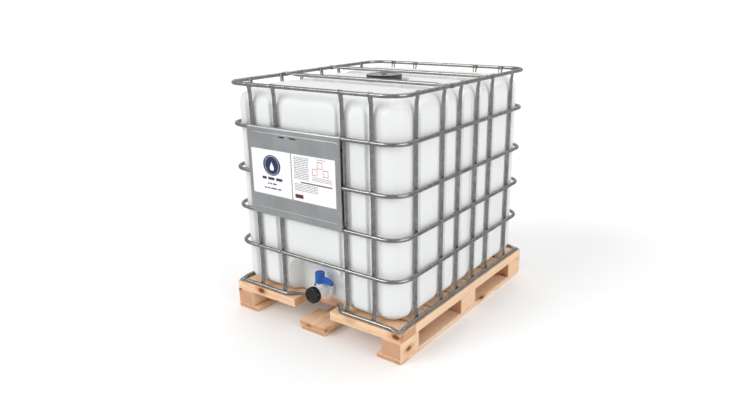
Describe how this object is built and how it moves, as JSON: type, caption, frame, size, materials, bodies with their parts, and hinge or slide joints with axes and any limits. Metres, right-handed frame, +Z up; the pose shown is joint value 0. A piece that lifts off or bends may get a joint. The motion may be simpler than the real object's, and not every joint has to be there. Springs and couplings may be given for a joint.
{
  "type": "intermediate bulk container",
  "caption": "Translucent plastic tank in a galvanised tube cage on a wood pallet, with a screw lid on top and a lever valve and dust cap in a bay at the foot of the front.",
  "frame": {"origin": "centre of the pallet's underside", "axes": "+Z up, -Y out of the valve side, +X to the right when facing the valve"},
  "size_m": [1, 1.2, 1.15],
  "materials": {
    "pallet_pine": "sawn, unpainted",
    "nail_steel": "bright wire",
    "zinc_fastener": "zinc plated",
    "rivet_aluminium": "satin",
    "galvanised_sheet": "galvanised, rolled smooth",
    "galvanised_tube": "galvanised",
    "label_film": "printed film",
    "tank_hdpe": "translucent natural blow-moulded",
    "lid_plastic": "moulded black",
    "cap_plastic": "moulded black",
    "vent_plastic": "moulded black",
    "seal_rubber": "moulded",
    "valve_hdpe": "natural white moulded",
    "disc_plastic": "natural moulded",
    "lever_blue": "moulded blue",
    "seal_plastic": "moulded"
  },
  "bodies": {
    "container": {"cage_bars_back": "galvanised_tube", "cage_bars_front": "galvanised_tube", "cage_bars_left": "galvanised_tube", "cage_bars_right": "galvanised_tube", "cage_bottom_ring": "galvanised_tube", "cage_foot_screws": "zinc_fastener", "cage_ring_2": "galvanised_tube", "cage_ring_3": "galvanised_tube", "cage_ring_4": "galvanised_tube", "cage_ring_5": "galvanised_tube", "cage_top_ring": "galvanised_tube", "cross_bar_bolts": "zinc_fastener", "cross_bar_front": "galvanised_tube", "cross_bar_rear": "galvanised_tube", "deck_board_1": "pallet_pine", "deck_board_2": "pallet_pine", "deck_board_3": "pallet_pine", "deck_board_4": "pallet_pine", "deck_board_5": "pallet_pine", "deck_board_6": "pallet_pine", "label_left": "label_film", "label_plate": "galvanised_sheet", "label_right": "label_film", "pallet_beam_left": "pallet_pine", "pallet_beam_right": "pallet_pine", "pallet_block_front_centre": "pallet_pine", "pallet_block_front_left": "pallet_pine", "pallet_block_front_right": "pallet_pine", "pallet_block_middle_centre": "pallet_pine", "pallet_block_middle_left": "pallet_pine", "pallet_block_middle_right": "pallet_pine", "pallet_block_rear_centre": "pallet_pine", "pallet_block_rear_left": "pallet_pine", "pallet_block_rear_right": "pallet_pine", "pallet_nails": "nail_steel", "pallet_rail_left": "pallet_pine", "pallet_rail_right": "pallet_pine", "pallet_runner_centre": "pallet_pine", "pallet_runner_left": "pallet_pine", "pallet_runner_right": "pallet_pine", "pallet_stringer_centre": "pallet_pine", "pallet_stringer_left": "pallet_pine", "pallet_stringer_right": "pallet_pine", "plate_rivets": "rivet_aluminium", "tamper_seal": "seal_plastic", "tank": "tank_hdpe", "tank_neck": "tank_hdpe", "tank_outlet": "tank_hdpe", "union_nut": "valve_hdpe", "valve_body": "valve_hdpe", "valve_gasket": "seal_rubber"},
    "lid_seal": {"lid_gasket": "seal_rubber"},
    "lid": {"lid": "lid_plastic", "lid_vent_plug": "vent_plastic"},
    "lever": {"valve_lever": "lever_blue", "valve_stem": "disc_plastic", "valve_disc": "disc_plastic", "stem_oring": "seal_rubber"},
    "cap_seal": {"dust_cap_gasket": "seal_rubber"},
    "cap": {"dust_cap": "cap_plastic"}
  },
  "joints": [
    {"name": "lid_lift", "type": "slide", "parent": "container", "child": "lid_seal", "axis": [0, 0, 1], "range_m": [0, 0.0176]},
    {"name": "lid_turn", "type": "hinge", "parent": "lid_seal", "child": "lid", "pos_m": [0, 0, 1.12], "axis": [0, 0, 1], "range_deg": [0, 900]},
    {"name": "lever_turn", "type": "hinge", "parent": "container", "child": "lever", "pos_m": [0, -0.532, 0.19], "axis": [0, 0, 1], "range_deg": [-90, 0]},
    {"name": "cap_slide", "type": "slide", "parent": "container", "child": "cap_seal", "axis": [0, -1, 0], "range_m": [0, 0.0151]},
    {"name": "cap_turn", "type": "hinge", "parent": "cap_seal", "child": "cap", "pos_m": [0, -0.59, 0.19], "axis": [0, -1, 0], "range_deg": [0, 900]}
  ],
  "couplings": [
    {"joint": "lid_lift", "follows": "lid_turn", "m_per_rad": 0.0011141},
    {"joint": "cap_slide", "follows": "cap_turn", "m_per_rad": 0.00095493}
  ]
}
